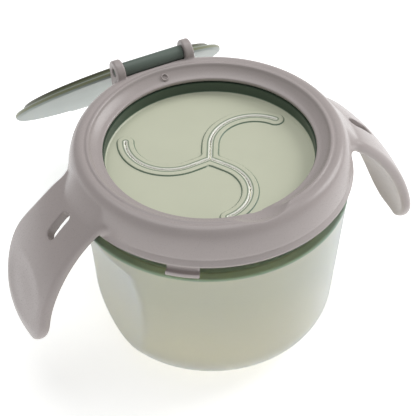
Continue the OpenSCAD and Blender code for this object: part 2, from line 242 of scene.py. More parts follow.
def soft_min(a, b, k):
    """The smaller of a and b, rounded where they differ by less than k."""
    h = max(k - abs(a - b), 0) / k
    return min(a, b) - h * h * k / 4


# -------------------------------------------------------------------- meshes

def mesh_object(name, verts, faces):
    """A mesh object from points in millimetres."""
    mesh = bpy.data.meshes.new(name)
    mesh.from_pydata([Vector(v) * MM for v in verts], [], faces)
    mesh.validate()
    obj = bpy.data.objects.new(name, mesh)
    bpy.context.collection.objects.link(obj)
    return obj


def fix_normals(obj):
    """Turns every face of a closed mesh outward."""
    bm = bmesh.new()
    bm.from_mesh(obj.data)
    bmesh.ops.recalc_face_normals(bm, faces=bm.faces)
    bm.to_mesh(obj.data)
    bm.free()


def weld(obj, distance):
    """Merges points closer than distance in millimetres and makes the normals consistent."""
    bm = bmesh.new()
    bm.from_mesh(obj.data)
    bmesh.ops.remove_doubles(bm, verts=bm.verts, dist=distance * MM)
    bm.to_mesh(obj.data)
    bm.free()
    fix_normals(obj)


def lathe(name, section, steps, closed=True, shape=None):
    """A turned mesh of a section of (radius, height) points; shape may move each point (x, y, z)."""
    n = len(section)
    verts = []
    for j in range(steps):
        a = 2 * pi * j / steps
        for r, z in section:
            point = (r * cos(a), r * sin(a), z)
            verts.append(shape(*point) if shape else point)
    faces = []
    for j in range(steps):
        k = (j + 1) % steps
        for i in range(n if closed else n - 1):
            m = (i + 1) % n
            faces.append((j * n + i, k * n + i, k * n + m, j * n + m))
    obj = mesh_object(name, verts, faces)
    weld(obj, 0.001)
    return obj


def loft_sides(steps, n):
    """The faces between steps + 1 rings of n points each."""
    return [(j * n + i, (j + 1) * n + i, (j + 1) * n + (i + 1) % n, j * n + (i + 1) % n)
            for j in range(steps) for i in range(n)]


def loft(name, rings):
    """A closed mesh through rings of equally many points, with a flat face at both ends."""
    steps, n = len(rings) - 1, len(rings[0])
    faces = [tuple(range(n)), tuple(range(steps * n + n - 1, steps * n - 1, -1))]
    obj = mesh_object(name, [point for ring in rings for point in ring], faces + loft_sides(steps, n))
    fix_normals(obj)
    return obj


def prism(name, outline, x0, x1):
    """A closed block with an outline of (y, z) points, from x0 to x1."""
    return loft(name, [[(x, y, z) for y, z in outline] for x in (x0, x1)])


def apply_modifiers(obj):
    """Replaces the mesh by what its modifiers make of it."""
    bpy.context.view_layer.update()
    graph = bpy.context.evaluated_depsgraph_get()
    mesh = bpy.data.meshes.new_from_object(obj.evaluated_get(graph))
    obj.modifiers.clear()
    obj.data = mesh


def boolean(obj, tools, operation):
    """Adds or cuts the tools, which are then deleted."""
    for tool in tools:
        modifier = obj.modifiers.new("boolean", "BOOLEAN")
        modifier.operation = operation
        modifier.solver = "EXACT"
        modifier.object = tool
    apply_modifiers(obj)
    for tool in tools:
        bpy.data.objects.remove(tool)


def join(name, objects):
    """One mesh object of several, with their points kept apart."""
    bm = bmesh.new()
    for obj in objects:
        bm.from_mesh(obj.data)
        bpy.data.objects.remove(obj)
    mesh = bpy.data.meshes.new(name)
    bm.to_mesh(mesh)
    bm.free()
    obj = bpy.data.objects.new(name, mesh)
    bpy.context.collection.objects.link(obj)
    return obj


def bevel(obj, width, segments, angle=30):
    """Rounds every edge that turns by more than angle."""
    modifier = obj.modifiers.new("bevel", "BEVEL")
    modifier.width = width * MM
    modifier.segments = segments
    modifier.limit_method = "ANGLE"
    modifier.angle_limit = radians(angle)
    apply_modifiers(obj)


def shade(obj, angle):
    """Smooth shading, sharp where faces meet at more than angle."""
    obj.data.shade_smooth()
    obj.data.set_sharp_from_angle(angle=radians(angle))


def set_attribute(obj, name, values):
    """Stores one number per point, which the materials read."""
    attribute = obj.data.attributes.new(name, "FLOAT", "POINT")
    attribute.data.foreach_set("value", np.asarray(values, np.float32))


def dress(obj, material, body, slot, *nodes):
    """Gives a finished piece its material and body, and hides the CAD nodes it stands for; slot is not
    used.
    """
    obj.data.materials.clear()
    obj.data.materials.append(material)
    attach(obj, body)
    if nodes:
        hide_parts(*nodes)


# ---------------------------------------------------------------- materials

def new_material(name):
    """A node material with its tree's nodes, links and shader."""
    material = bpy.data.materials.new(name)
    material.use_nodes = True
    tree = material.node_tree
    return material, tree.nodes, tree.links, tree.nodes["Principled BSDF"]


def noise(nodes, links, scale, detail):
    """Object-space noise, in cells per metre."""
    where = nodes.new("ShaderNodeTexCoord")
    texture = nodes.new("ShaderNodeTexNoise")
    texture.inputs["Scale"].default_value = scale
    texture.inputs["Detail"].default_value = detail
    links.new(where.outputs["Object"], texture.inputs["Vector"])
    return texture.outputs["Fac"]


def ramp(nodes, links, factor, stops):
    """A colour ramp of (position, colour) stops, driven by factor."""
    node = nodes.new("ShaderNodeValToRGB")
    elements = node.color_ramp.elements
    while len(elements) < len(stops):
        elements.new(0.5)
    for element, (position, colour) in zip(elements, stops):
        element.position = position
        element.color = (*colour, 1)
    links.new(factor, node.inputs["Fac"])
    return node.outputs["Color"]


def map_range(nodes, links, value, low, high, to_low, to_high):
    """Maps value from low..high to to_low..to_high."""
    node = nodes.new("ShaderNodeMapRange")
    node.inputs["From Min"].default_value = low
    node.inputs["From Max"].default_value = high
    node.inputs["To Min"].default_value = to_low
    node.inputs["To Max"].default_value = to_high
    links.new(value, node.inputs["Value"])
    return node.outputs["Result"]


def bump(nodes, links, height, shader, strength, distance):
    """Adds a fine bump of distance in millimetres to a shader."""
    node = nodes.new("ShaderNodeBump")
    node.inputs["Strength"].default_value = strength
    node.inputs["Distance"].default_value = distance * MM
    links.new(height, node.inputs["Height"])
    links.new(node.outputs["Normal"], shader.inputs["Normal"])


def grey(value):
    """A linear grey."""
    return (value, value, value)


def shade_of(colour, factor):
    """The same colour, darker or lighter by factor."""
    return tuple(c * factor for c in colour)


def linear(*srgb):
    """A linear colour from 0-255 sRGB values."""
    shares = [value / 255 for value in srgb]
    return tuple(s / 12.92 if s <= 0.04045 else ((s + 0.055) / 1.055) ** 2.4 for s in shares)


def mottle(nodes, links, low, high):
    """A slow drift between two colours, as moulded plastic has."""
    drift = noise(nodes, links, scale=50, detail=3)
    return ramp(nodes, links, drift, [(0.35, low), (0.65, high)])


def mottled(nodes, links, colour, spread):
    """A colour that drifts by a few hundredths."""
    mix = nodes.new("ShaderNodeMix")
    mix.data_type = "RGBA"
    mix.blend_type = "MULTIPLY"
    mix.inputs["Factor"].default_value = 1.0
    links.new(colour, mix.inputs["A"])
    links.new(mottle(nodes, links, grey(1 - spread), grey(1.0)), mix.inputs["B"])
    return mix.outputs["Result"]


def grained(nodes, links, shader, scale, smooth, rough, strength):
    """A fine moulded grain in roughness and relief."""
    grain = noise(nodes, links, scale, detail=2)
    links.new(map_range(nodes, links, grain, 0.3, 0.7, smooth, rough), shader.inputs["Roughness"])
    bump(nodes, links, grain, shader, strength, distance=0.01)


def height_ramp(nodes, links, stops):
    """A colour that changes with the height above the base, from (height, colour) stops."""
    top = 90.0
    where = nodes.new("ShaderNodeTexCoord")
    split = nodes.new("ShaderNodeSeparateXYZ")
    links.new(where.outputs["Object"], split.inputs["Vector"])
    share = map_range(nodes, links, split.outputs["Z"], 0, top * MM, 0, 1)
    return ramp(nodes, links, share, [(z / top, colour) for z, colour in stops])


def attribute_ramp(nodes, links, name, stops):
    """A colour that a point attribute chooses."""
    attribute = nodes.new("ShaderNodeAttribute")
    attribute.attribute_name = name
    return ramp(nodes, links, attribute.outputs["Fac"], stops)


def taupe_plastic():
    """Satin moulded plastic with faint mottling and a fine grain."""
    material, nodes, links, shader = new_material("taupe_plastic")
    base = linear(174, 165, 163)
    colour = mottle(nodes, links, shade_of(base, 0.98), shade_of(base, 1.02))
    links.new(colour, shader.inputs["Base Color"])
    grained(nodes, links, shader, scale=2600, smooth=0.26, rough=0.33, strength=0.04)
    shader.inputs["Specular IOR Level"].default_value = 0.45
    return material


def clear_sage():
    """Milky plastic: frosted body, clearer at the neck and ledge, and painted light and shade in its
    colour.
    """
    material, nodes, links, shader = new_material("clear_sage")
    low, body = linear(242, 238, 214), linear(230, 231, 211)
    line, neck = linear(150, 186, 166), linear(92, 100, 86)
    milky, clear = grey(0.55), grey(0.9)
    # Painted light by height: a lighter base for the floor's light, a painted highlight on the ledge,
    # painted shade on the neck
    colour = height_ramp(nodes, links, [
        (0, low), (20, low), (50, body), (SHOULDER_Z - 1.5, body),
        (SHOULDER_Z - 1, line), (SHOULDER_Z - 0.3, line), (SHOULDER_Z - 0.05, neck)])
    links.new(mottled(nodes, links, colour, spread=0.02), shader.inputs["Base Color"])
    clearness = height_ramp(nodes, links, [(0, milky), (SHOULDER_Z - 2, milky), (SHOULDER_Z + 1, clear)])
    links.new(clearness, shader.inputs["Transmission Weight"])
    grained(nodes, links, shader, scale=700, smooth=0.3, rough=0.33, strength=0.01)
    shader.inputs["IOR"].default_value = 1.3
    shader.inputs["Subsurface Weight"].default_value = 1.0
    shader.inputs["Subsurface Radius"].default_value = (0.012, 0.012, 0.01)
    shader.inputs["Subsurface Scale"].default_value = 1.0
    shader.inputs["Sheen Weight"].default_value = 0.5
    shader.inputs["Sheen Tint"].default_value = (0.82, 0.92, 1.0, 1)
    return material


def clear_grey():
    """Translucent grey-green plastic of the lid, deeper in colour where it is thick, with painted shade on
    the plug ring.
    """
    material, nodes, links, shader = new_material("clear_grey")
    colour = attribute_ramp(nodes, links, "tone", [
        (PLATE_TONE, linear(158, 168, 164)), (EDGE_TONE, linear(136, 140, 112)),
        (PLUG_SHADE_TONE, linear(84, 86, 66)), (BARREL_TONE, linear(112, 124, 116))])
    links.new(mottled(nodes, links, colour, spread=0.03), shader.inputs["Base Color"])
    grained(nodes, links, shader, scale=60, smooth=0.34, rough=0.38, strength=0.03)
    shader.inputs["Transmission Weight"].default_value = 0.15
    shader.inputs["IOR"].default_value = 1.35
    return material


def soft_sage():
    """Soft silicone: pale face, painted highlight on slit lips, painted shade on border lines and wall."""
    material, nodes, links, shader = new_material("soft_sage")
    # Painted highlight on the slit lips at 0, the face's own colour, painted shade for the border lines
    # and the wall
    colour = attribute_ramp(nodes, links, "tint", [
        (0.0, linear(246, 246, 238)), (FACE_TINT, linear(207, 210, 187)),
        (0.6, linear(96, 120, 100)), (WALL_SHADE_TINT, linear(66, 84, 68))])
    links.new(mottled(nodes, links, colour, spread=0.03), shader.inputs["Base Color"])
    grained(nodes, links, shader, scale=300, smooth=0.36, rough=0.4, strength=0.01)
    return material


# ---------------------------------------------------------------------- cup

def scoop_table(shrink):
    """Heights and half-widths of the flattened sides, rising."""
    ramp_z = SHOULDER_Z - SCOOP_RAMP
    third = (SCOOP_TOP_X - SCOOP_BASE_X) / 3
    points = [(BODY_TOP_R + 20, SHOULDER_Z + 20), (BODY_TOP_R + 8, SHOULDER_Z),
              (BODY_TOP_R + 1, SHOULDER_Z - 1.2)]
    points += bezier_line((BODY_TOP_R - 0.5, SHOULDER_Z - 2.2),
                          (BODY_TOP_R - 1.6, SHOULDER_Z - SCOOP_RAMP * 0.75),
                          (SCOOP_TOP_X + 1.4, ramp_z + 0.5), (SCOOP_TOP_X, ramp_z - 2), 24)
    points += bezier_line((SCOOP_TOP_X - 0.5, ramp_z * 0.9),
                          (SCOOP_TOP_X - third - SCOOP_DIP, ramp_z * 0.65),
                          (SCOOP_BASE_X + third - SCOOP_DIP, ramp_z * 0.33), (SCOOP_BASE_X, -1), 24)
    points = sorted((z, x - shrink) for x, z in points)
    return np.array([p[0] for p in points]), np.array([p[1] for p in points])


def cup_point(x, y, z, table):
    """Draws a point of the round cup in to the flattened side."""
    r = sqrt(x * x + y * y)
    if r < 1e-6:
        return (x, y, z)
    side = np.interp(z, table[0], table[1]) / max(abs(x) / r, 1e-3)
    new_r = soft_min(r, side, SCOOP_SOFTNESS)
    return (x * new_r / r, y * new_r / r, z)


def cup_sections():
    """The cup's outer and inner half sections, from the middle of the floor to the rim."""
    lean = degrees(atan((BODY_TOP_R - BODY_BASE_R) / SHOULDER_Z))
    round_x = BODY_BASE_R + BASE_ROUND * tan(radians(lean)) - BASE_ROUND / cos(radians(lean))
    foot_in_r = round_x - FOOT_RING_W
    floor_z = FOOT_RECESS + CUP_WALL
    neck_in_r, snap_z = NECK_R - CUP_WALL, RIM_Z - SNAP_DROP
    outer = [(0, FOOT_RECESS), (foot_in_r - 0.4, FOOT_RECESS), (foot_in_r, FOOT_RECESS - 0.4),
             (foot_in_r + 0.5, 0.0)]
    outer += arc((round_x, BASE_ROUND), BASE_ROUND, -90, -lean, 24)
    outer += arc((BODY_TOP_R - LEDGE_ROUND, SHOULDER_Z - LEDGE_ROUND), LEDGE_ROUND, -lean, 80, 6)
    outer += [(NECK_R + 0.6, SHOULDER_Z), (NECK_R, SHOULDER_Z + 0.5),
              (NECK_R, snap_z - 1.6), (NECK_R + SNAP_OUT, snap_z - 0.3),
              (NECK_R + SNAP_OUT, snap_z + 0.3), (NECK_R, snap_z + 1.5)]
    outer += arc((NECK_R - RIM_ROUND, RIM_Z - RIM_ROUND), RIM_ROUND, 0, 90, 4)
    start = -90 + degrees(acos((BASE_ROUND - floor_z) / (BASE_ROUND - CUP_WALL)))
    inner = [(0, floor_z), (round_x, floor_z)]
    inner += arc((round_x, BASE_ROUND), BASE_ROUND - CUP_WALL, start, -lean, 20)
    inner += [(BODY_TOP_R - CUP_WALL, SHOULDER_Z - CUP_WALL - 2), (neck_in_r, SHOULDER_Z),
              (neck_in_r, RIM_Z - 0.4), (neck_in_r + 0.4, RIM_Z)]
    return refine(outer, step=1.6), refine(inner, step=1.6)


def make_cup(material):
    """The cup as one turned skin, outside and inside, drawn in to its flattened sides."""
    outer, inner = cup_sections()
    rows = [(r, z, scoop_table(0)) for r, z in outer]
    rows += [(r, z, scoop_table(CUP_WALL)) for r, z in inner[::-1]]
    n = len(rows)
    verts = []
    for j in range(CUP_STEPS):
        a = 2 * pi * j / CUP_STEPS
        verts += [cup_point(r * cos(a), r * sin(a), z, table) for r, z, table in rows]
    faces = [(j * n + i, (j + 1) % CUP_STEPS * n + i, (j + 1) % CUP_STEPS * n + i + 1, j * n + i + 1)
             for j in range(CUP_STEPS) for i in range(n - 1)]
    cup = mesh_object("cup_body", verts, faces)
    weld(cup, 0.01)
    shade(cup, 50)
    dress(cup, material, "cup", "cup_clear_sage", "cup")


# ------------------------------------------------------------------- collar

def collar_ring_section():
    """The ring's outline, from the mouth over the crest down to the bead and back inside."""
    bead_top = SKIRT_Z + BEAD_H
    band = [(MOUTH_R + 0.4, CEILING_Z)]
    band += arc((MOUTH_R + 0.7, LIP_Z - 0.5), 0.7, 180, 75, 6)
    band += bezier_line((MOUTH_R + 1.6, LIP_Z + 0.35), (MOUTH_R + 3, LIP_Z + 1.0),
                        (CREST_R - 1.2, LIP_Z + 1.7), (CREST_R - 0.4, CREST_Z - 0.5), 6)
    crest = arc((CREST_R + 0.75, COLLAR_TOP_Z - CREST_ROUND), CREST_ROUND, 160, 45, 8)
    crest += [(CREST_R + 1.75, COLLAR_TOP_Z - 0.5), (CREST_R + 2.2, COLLAR_TOP_Z - 0.3)]
    shoulder = bezier_line((CREST_R + 2.6, COLLAR_TOP_Z - 0.15), (SKIRT_R - 1.7, COLLAR_TOP_Z),
                           (SKIRT_R - 0.3, LIP_Z - 0.5), (SKIRT_R, bead_top + 0.6), 24)
    bead = [(SKIRT_R - 0.3, bead_top + 0.2), (SKIRT_R, bead_top - 0.2)]
    bead += arc((SKIRT_R + BEAD_OUT - 0.5, SKIRT_Z + BEAD_ROUND), BEAD_ROUND, 30, -90, 5)
    inner = [(SKIRT_IN_R + 0.2, SKIRT_Z), (SKIRT_IN_R, SKIRT_Z + 0.3), (SKIRT_IN_R, CEILING_Z - 2),
             (SKIRT_IN_R - 0.4, CEILING_Z), (SKIRT_IN_R - 2.1, CEILING_Z + CORE_H),
             (CORE_R + 0.4, CEILING_Z + CORE_H), (CORE_R, CEILING_Z)]
    outline = band + crest + shoulder + bead + inner
    return refine(outline + [outline[0]], step=0.8)[:-1]


def scoop_notch(x, y, z):
    """Lowers the front of the crest to the ball that scoops the thumb notch."""
    across = x * x + (y - NOTCH_BALL_Y) ** 2
    if z < CEILING_Z + 0.5 or y > 0 or across > NOTCH_BALL_R ** 2:
        return (x, y, z)
    return (x, y, soft_min(z, NOTCH_BALL_Z - sqrt(NOTCH_BALL_R ** 2 - across), NOTCH_SOFTNESS))


def make_ring():
    """The turned ring with its thumb notch and the saddle that the lid's barrel turns in."""
    ring = lathe("ring", collar_ring_section(), 288, shape=scoop_notch)
    saddle = prism("saddle", circle((HINGE_Y, HINGE_Z), SADDLE_R, 64), -EAR_X - 0.5, EAR_X + 0.5)
    boolean(ring, [saddle], "DIFFERENCE")
    return ring


def handle_curve(t):
    """A point of the handle's outer face as radius and height, from root (0) to tip (1)."""
    return bezier((ROOT_R, ROOT_Z), (ROOT_R + ROOT_RUN, LIP_Z - ROOT_FALL),
                  (HANDLE_REACH + KNEE_OUT, LIP_Z - KNEE_FALL),
                  (HANDLE_REACH - TIP_IN, LIP_Z - HANDLE_DROP), t)


def handle_normal(t):
    """The direction out of the handle's face, which turns upright towards the root."""
    a, b = handle_curve(max(t - 0.01, 0)), handle_curve(min(t + 0.01, 1))
    n = Vector((a[1] - b[1], b[0] - a[0])).normalized()
    k = max(0, 1 - t / 0.12)
    return (n * (1 - k) + Vector((0, 1)) * k).normalized()


def rounding(u, fullness, sharpness):
    """Falls from 1 at u = 0 to 0 at u = 1, as the edges do towards the tip."""
    return max(0, 1 - u ** fullness) ** sharpness


def handle_edges(t):
    """Front and back edges: a flare at the root, an even width, a palm swell and a rounded tip."""
    back_round_at, front_round_at, flare_to = 0.556, 0.8, 0.14
    back_u = max(0, (t - back_round_at) / (1 - back_round_at))
    front_u = max(0, (t - front_round_at) / (1 - front_round_at))
    back_w = HANDLE_W / 2 + TIP_FORWARD + BACK_SHIFT
    front_w = HANDLE_W / 2 - TIP_FORWARD - BACK_SHIFT
    flare = max(0, 1 - t / flare_to) ** 2
    swell = PALM_SWELL * exp(-((t - 0.6) / 0.2) ** 2)
    back = -TIP_FORWARD + back_w * rounding(back_u, 3.9, 0.43) + FLARE_BACK * flare + swell
    front = -TIP_FORWARD - front_w * rounding(front_u, 1.86, 0.77) - FLARE_FRONT * flare
    return front, back


def handle_thickness(t):
    """The even thickness, which rounds off to nothing at the tip."""
    tip_at = 0.967
    return HANDLE_T * sqrt(max(0.004, 1 - max(0, (t - tip_at) / (1 - tip_at)) ** 2))


def dish(t, v):
    """Depth of the fingertip dish on the outer face, at v half widths from its middle."""
    d = ((t - DISH_AT) / DISH_L) ** 2 + (v / DISH_W) ** 2
    return DISH_DEPTH * (1 - d * d) ** 2 if d < 1 else 0.0


def handle_ring(t, side):
    """One ring around the handle's section: two faces joined by round edges.

    q runs across a face from one edge to the other, and a turns it over each edge.
    """
    front, back = handle_edges(t)
    mid, half = (front + back) / 2, max((back - front) / 2, 0.3)
    e = min(handle_thickness(t) / 2, half)
    c, n = Vector(handle_curve(t)), handle_normal(t)
    ring = []
    for face in (1, -1):
        for j in range(HALF_RING):
            q = j / HALF_RING
            a = radians(90 * (max(0, 1 - q / EDGE_SHARE) - max(0, 1 - (1 - q) / EDGE_SHARE)))
            run = max(0, min(1, (q - EDGE_SHARE) / (1 - 2 * EDGE_SHARE)))
            y = mid + face * ((half - e) * (1 - 2 * run) + e * sin(a))
            depth = dish(t, (y - mid) / half) if face > 0 else 0
            p = c + n * (face * e * cos(a) - HANDLE_T / 2 - depth)
            ring.append((side * sqrt(p[0] ** 2 - y * y), y, p[1]))
    return ring


def ring_cap(first):
    """Faces that close the handle's ring of points from first on, in strips across its thickness."""
    m = 2 * HALF_RING
    strips = [(first + j, first + j + 1, first + m - 1 - j, first + (m - j) % m) for j in range(HALF_RING)]
    return [tuple(dict.fromkeys(strip)) for strip in strips]


def slot_cutter(side):
    """A bar with round ends that cuts the slot square to the handle's face."""
    c = handle_curve(SLOT_AT)
    a, b = handle_curve(SLOT_AT - 0.02), handle_curve(SLOT_AT + 0.02)
    tilt = atan2(b[1] - a[1], b[0] - a[0])
    half, r = (SLOT_L - SLOT_W) / 2, SLOT_W / 2
    outline = arc((half, 0), r, -90, 90, 16) + arc((-half, 0), r, 90, 270, 16)
    rings = [[(side * (c[0] + u * cos(tilt) - h * sin(tilt)), v - SLOT_FORWARD,
               c[1] + u * sin(tilt) + h * cos(tilt)) for u, v in outline] for h in (-10, 10)]
    return loft("slot_cutter", rings)


def make_handle(side):
    """One handle: a closed loft along its curve, mirrored by side, with its strap slot."""
    rings = [handle_ring(1 - (1 - i / HANDLE_RINGS) ** 1.6, side) for i in range(HANDLE_RINGS + 1)]
    m = 2 * HALF_RING
    faces = loft_sides(HANDLE_RINGS, m) + ring_cap(0) + ring_cap(HANDLE_RINGS * m)
    handle = mesh_object("handle", [point for ring in rings for point in ring], faces)
    weld(handle, 0.001)
    boolean(handle, [slot_cutter(side)], "DIFFERENCE")
    return handle


def make_gusset(side):
    """The fill that lets the shoulder run down into the top of the handle."""
    steps = 40
    c, before = Vector(handle_curve(GUSSET_AT)), Vector(handle_curve(GUSSET_AT - 0.1))
    top = bezier_line((SKIRT_R - 5.0, COLLAR_TOP_Z - 0.3), (SKIRT_R - 1.5, COLLAR_TOP_Z - 0.8),
                      tuple((c + before) / 2), tuple(c), 16)
    under = [(c.x - 1.0, c.y - 1.6), (SKIRT_R - 0.5, LIP_Z - 7.0), (SKIRT_R - 1.3, LIP_Z - 5),
             (SKIRT_R - 3.9, LIP_Z + 2)]
    rings = []
    for j in range(steps + 1):
        y = GUSSET_FRONT + (GUSSET_BACK - GUSSET_FRONT) * j / steps
        front_fade = max(0, 1 - (y - GUSSET_FRONT) / GUSSET_FRONT_FADE) ** 2
        back_fade = max(0, 1 - (GUSSET_BACK - y) / GUSSET_BACK_FADE) ** 2
        sink = GUSSET_SINK * (front_fade + back_fade)
        section = [(r - sink, z - sink) for r, z in top] + under
        rings.append([(side * sqrt(r * r - y * y), y, z) for r, z in section])
    return loft("gusset", rings)


def make_ear(x0):
    """A hinge ear: upright plate with a round top and the hole for the stub pin."""
    outline = arc((HINGE_Y, HINGE_Z), EAR_R, 0, 180, 32)
    outline += [(CREST_R, CREST_Z - 2), (SKIRT_IN_R + 0.6, LIP_Z - 8), (SKIRT_R - 0.4, LIP_Z - 8)]
    ear = prism("ear", outline, x0, x0 + EAR_T)
    bevel(ear, width=0.9, segments=4)
    hole = prism("ear_hole", circle((HINGE_Y, HINGE_Z), PIN_R + PIN_GAP, 32), x0 - 1, x0 + EAR_T + 1)
    boolean(ear, [hole], "DIFFERENCE")
    return ear


def make_tongue(direction):
    """A snap tongue under the skirt that ends in a foot."""
    steps = 16
    in_r, stem_r, root_r, foot_r = 51.2, 51.9, SKIRT_IN_R + 0.6, SKIRT_IN_R + 1.4
    foot_z = SHOULDER_Z + 0.3
    outline = [(in_r, foot_z), (foot_r - 0.3, foot_z), (foot_r, foot_z + 0.3), (foot_r, foot_z + FOOT_H),
               (stem_r, foot_z + FOOT_H), (stem_r, SKIRT_Z + 0.5), (root_r, SKIRT_Z + 1.5),
               (root_r, SKIRT_Z + 3.5), (in_r, SKIRT_Z + 3.5)]
    half_turn = TONGUE_W / stem_r / 2
    turns = [radians(direction) - half_turn + 2 * half_turn * j / steps for j in range(steps + 1)]
    return loft("tongue", [[(r * cos(a), r * sin(a), z) for r, z in outline] for a in turns])


def root_weight(x, y, z):
    """How much a point is smoothed: 1 in the crease where a handle leaves the skirt, 0 away from it."""
    crease_r, reach, half_w, fade = SKIRT_R + 1.0, 4.0, 31, 5
    if abs(x) <= 30 or not SKIRT_Z + 0.6 < z < CREST_Z - 2:
        return 0.0
    near = max(0, 1 - abs(sqrt(x * x + y * y) - crease_r) / reach)
    return min(1, 1.4 * near * max(0, min(1, (half_w - abs(y)) / fade)))


def soften_roots(obj):
    """Lets the handles flow out of the skirt: smooths only the creases where they meet."""
    group = obj.vertex_groups.new(name="roots")
    for v in obj.data.vertices:
        weight = root_weight(*(v.co / MM))
        if weight > 0:
            group.add([v.index], weight, "REPLACE")
    modifier = obj.modifiers.new("smooth", "SMOOTH")
    modifier.factor = 0.5
    modifier.iterations = 24
    modifier.vertex_group = "roots"
    apply_modifiers(obj)


def fuse(name, shell):
    """One skin around overlapping pieces, laid back on them so that only the joints are eased."""
    skin = shell.copy()
    skin.data = shell.data.copy()
    skin.name = name
    bpy.context.collection.objects.link(skin)
    remesh = skin.modifiers.new("remesh", "REMESH")
    remesh.mode = "VOXEL"
    remesh.voxel_size = VOXEL * MM
    smooth = skin.modifiers.new("smooth", "SMOOTH")
    smooth.factor = 0.5
    smooth.iterations = 2
    snap = skin.modifiers.new("snap", "SHRINKWRAP")
    snap.wrap_method = "NEAREST_SURFACEPOINT"
    snap.target = shell
    ease = skin.modifiers.new("ease", "SMOOTH")
    ease.factor = 0.4
    ease.iterations = 1
    apply_modifiers(skin)
    bpy.data.objects.remove(shell)
    return skin


def make_collar(material):
    """Ring, handles, fills, ears and tongues, fused into the one moulding that they are."""
    pieces = [make_ring()]
    pieces += [make(side) for side in (1, -1) for make in (make_handle, make_gusset)]
    pieces += [make_ear(x0) for x0 in (EAR_X, -EAR_X - EAR_T)]
    pieces += [make_tongue(direction) for direction in TONGUE_DIRS]
    collar = fuse("collar_shell", join("collar_raw", pieces))
    soften_roots(collar)
    shade(collar, 60)
    dress(collar, material, "collar", "collar_taupe", "collar")


def make_gate_mark(material):
    """The small round moulding mark on the band beside the hinge."""
    slope = (CREST_Z - LIP_Z) / (CREST_R - MOUTH_R)
    mark = lathe("gate_mark", circle((GATE_R, 0), GATE_T, 24), 48)
    place = Vector((0, MOUTH_R + GATE_UP_BAND, LIP_Z + GATE_UP_BAND * slope - GATE_SINK)) * MM
    mark.data.transform(Matrix.Rotation(radians(GATE_TURN), 4, "Z") @ Matrix.Translation(place)
                        @ Matrix.Rotation(atan(slope), 4, "X"))
    shade(mark, 60)
    dress(mark, material, "collar", "collar_taupe")


# ---------------------------------------------------------------------- lid

def lid_tone(x, y, z):
    """Which colour a point of the shut lid has; the plug ring is painted shade."""
    if np.hypot(y - HINGE_Y, z - HINGE_Z) < BLOCK_RUN - 2:
        return BARREL_TONE
    if z < PLATE_Z - 0.05:
        return PLUG_SHADE_TONE
    return EDGE_TONE if np.hypot(x, y) > LID_R - 0.3 and z < PLATE_Z + LID_T - 0.8 else PLATE_TONE


def make_plate():
    """The lid's plate with a rounded edge, and the ring underneath that plugs the mouth."""
    plug_in_r, plug_z, top_z = PLUG_R - PLUG_WALL, PLATE_Z - PLUG_DEPTH, PLATE_Z + LID_T
    section = [(0, PLATE_Z), (plug_in_r, PLATE_Z), (plug_in_r, plug_z + 0.3), (plug_in_r + 0.3, plug_z),
               (PLUG_R - 0.5, plug_z), (PLUG_R, plug_z + 0.6), (PLUG_R, PLATE_Z),
               (LID_R - 0.5, PLATE_Z), (LID_R, PLATE_Z + 0.5)]
    section += arc((LID_R - LID_ROUND, top_z - LID_ROUND), LID_ROUND, 0, 90, 6)
    section += [(0, top_z)]
    return lathe("lid_shell", refine(section, step=2.0), 192, closed=False)


def make_block():
    """The thin block that joins the plate to the hinge barrel."""
    low_z, top_z, half = COLLAR_TOP_Z + 0.3, HINGE_Z + BLOCK_TOP, (BARREL_L - 3) / 2
    outline = [(HINGE_Y, top_z), (HINGE_Y - BLOCK_RUN, top_z), (LID_R - BLOCK_ROOT, PLATE_Z + LID_T - 0.1),
               (LID_R - BLOCK_ROOT, PLATE_Z + 0.4), (LID_R - 1.4, PLATE_Z + 0.4), (LID_R - 1, low_z),
               (HINGE_Y, low_z)]
    block = prism("block", outline, -half, half)
    bevel(block, width=0.3, segments=2)
    return block


def make_barrel():
    """The barrel between the collar's ears."""
    barrel = prism("barrel", circle((HINGE_Y, HINGE_Z), BARREL_R, 64), -BARREL_L / 2, BARREL_L / 2)
    bevel(barrel, width=0.3, segments=2, angle=60)
    return barrel


def make_pin():
    """The two stub pins that turn in the ears, as one bar through the barrel."""
    half = EAR_X + EAR_T - 0.6
    return prism("pin", circle((HINGE_Y, HINGE_Z), PIN_R, 32), -half, half)


def make_tab():
    """The thumb tab at the lid's free edge."""
    half, root, nose = TAB_W / 2, TAB_ROOT - LID_R, -(LID_R + TAB_REACH)
    z0 = PLATE_Z + LID_T - TAB_T - 0.1
    outline = [(half, root), (-half, root)]
    outline += arc((TAB_CORNER - half, nose + TAB_CORNER), TAB_CORNER, 180, 270, 8)
    outline += arc((half - TAB_CORNER, nose + TAB_CORNER), TAB_CORNER, 270, 360, 8)
    tab = loft("tab", [[(x, y, z) for x, y in outline] for z in (z0, z0 + TAB_T)])
    bevel(tab, width=0.4, segments=3)
    return tab


def make_lid(material):
    """The lid is made shut and then swung open about the hinge."""
    lid = make_plate()
    boolean(lid, [make_block(), make_barrel(), make_pin(), make_tab()], "UNION")
    set_attribute(lid, "tone", [lid_tone(*(v.co / MM)) for v in lid.data.vertices])
    hinge = Vector((0, HINGE_Y, HINGE_Z)) * MM
    lid.data.transform(Matrix.Translation(hinge) @ Matrix.Rotation(radians(-LID_OPEN), 4, "X")
                       @ Matrix.Translation(-hinge))
    shade(lid, 35)
    dress(lid, material, "lid", "lid_grey_green", "lid")


# ----------------------------------------------------------------- membrane

def arm_line(off):
    """A slit arm in its own frame (forward, clockwise), moved sideways by off."""
    points = [(abs(off) / tan(radians(60)), off), (SLIT_STRAIGHT - 0.8, off - SLIT_OFFSET)]
    points += arc((SLIT_STRAIGHT, SLIT_R - SLIT_OFFSET), SLIT_R - off, -90, SLIT_TURN - 90, SLIT_STEPS)
    return refine(points, step=1.2)


def turned(points, direction):
    """Points of an arm's frame in the collar's frame, with the arm in this direction."""
    c, s = cos(radians(direction)), sin(radians(direction))
    return [(p * c + q * s, p * s - q * c) for p, q in points]


